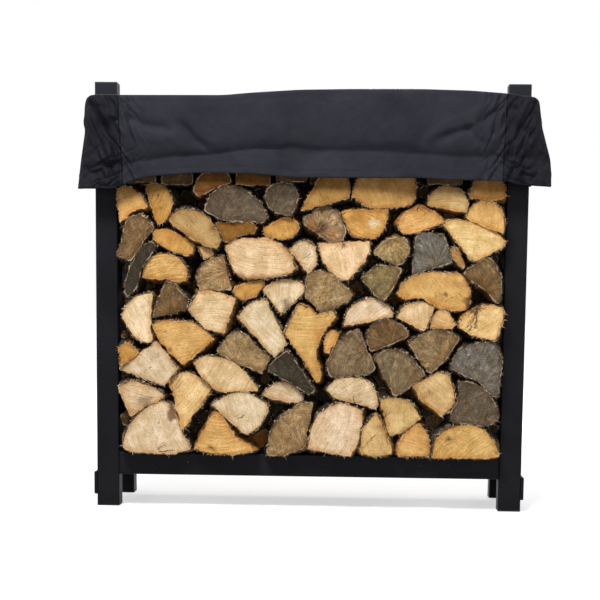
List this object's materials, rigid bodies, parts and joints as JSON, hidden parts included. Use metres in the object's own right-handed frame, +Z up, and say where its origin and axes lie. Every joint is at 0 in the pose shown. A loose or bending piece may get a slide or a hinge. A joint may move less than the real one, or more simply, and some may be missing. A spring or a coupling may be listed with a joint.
{
  "type": "log store with cover, filled with firewood",
  "caption": "Free-standing open frame of square steel tube for firewood, full of split logs, with a fabric cover over the top.",
  "frame": {"origin": "on the ground, at the middle of the rack's footprint", "axes": "+X along the front to the right, +Y from the front to the back, +Z up"},
  "size_m": [1.3246, 0.477, 1.206],
  "materials": {
    "black_steel": "satin black powder coat with small chips at the feet",
    "cap_plastic": "moulded black end caps",
    "cover_fabric": "coated black woven cover with soft folds",
    "split_wood": "newly split hardwood with sawn ends and bark",
    "weathered_wood": "weathered grey-brown hardwood with sawn ends and bark"
  },
  "bodies": {
    "root": {"course_10_fresh_logs": "split_wood", "course_10_grey_logs": "weathered_wood", "course_1_fresh_logs": "split_wood", "course_1_grey_logs": "weathered_wood", "course_2_fresh_logs": "split_wood", "course_2_grey_logs": "weathered_wood", "course_3_fresh_logs": "split_wood", "course_3_grey_logs": "weathered_wood", "course_4_fresh_logs": "split_wood", "course_4_grey_logs": "weathered_wood", "course_5_fresh_logs": "split_wood", "course_5_grey_logs": "weathered_wood", "course_6_fresh_logs": "split_wood", "course_6_grey_logs": "weathered_wood", "course_7_fresh_logs": "split_wood", "course_7_grey_logs": "weathered_wood", "course_8_fresh_logs": "split_wood", "course_8_grey_logs": "weathered_wood", "course_9_fresh_logs": "split_wood", "course_9_grey_logs": "weathered_wood", "cover_front_panel": "cover_fabric", "cover_left_end": "cover_fabric", "cover_rear_panel": "cover_fabric", "cover_right_end": "cover_fabric", "cover_top_panel": "cover_fabric", "front_bottom_rail": "black_steel", "front_left_post": "black_steel", "front_right_post": "black_steel", "left_base_tie": "black_steel", "left_lower_bar": "black_steel", "left_middle_bar": "black_steel", "left_top_bar": "black_steel", "post_foot_caps": "cap_plastic", "post_top_caps": "cap_plastic", "rear_bottom_rail": "black_steel", "rear_left_post": "black_steel", "rear_right_post": "black_steel", "right_base_tie": "black_steel", "right_lower_bar": "black_steel", "right_middle_bar": "black_steel", "right_top_bar": "black_steel"}
  },
  "joints": []
}
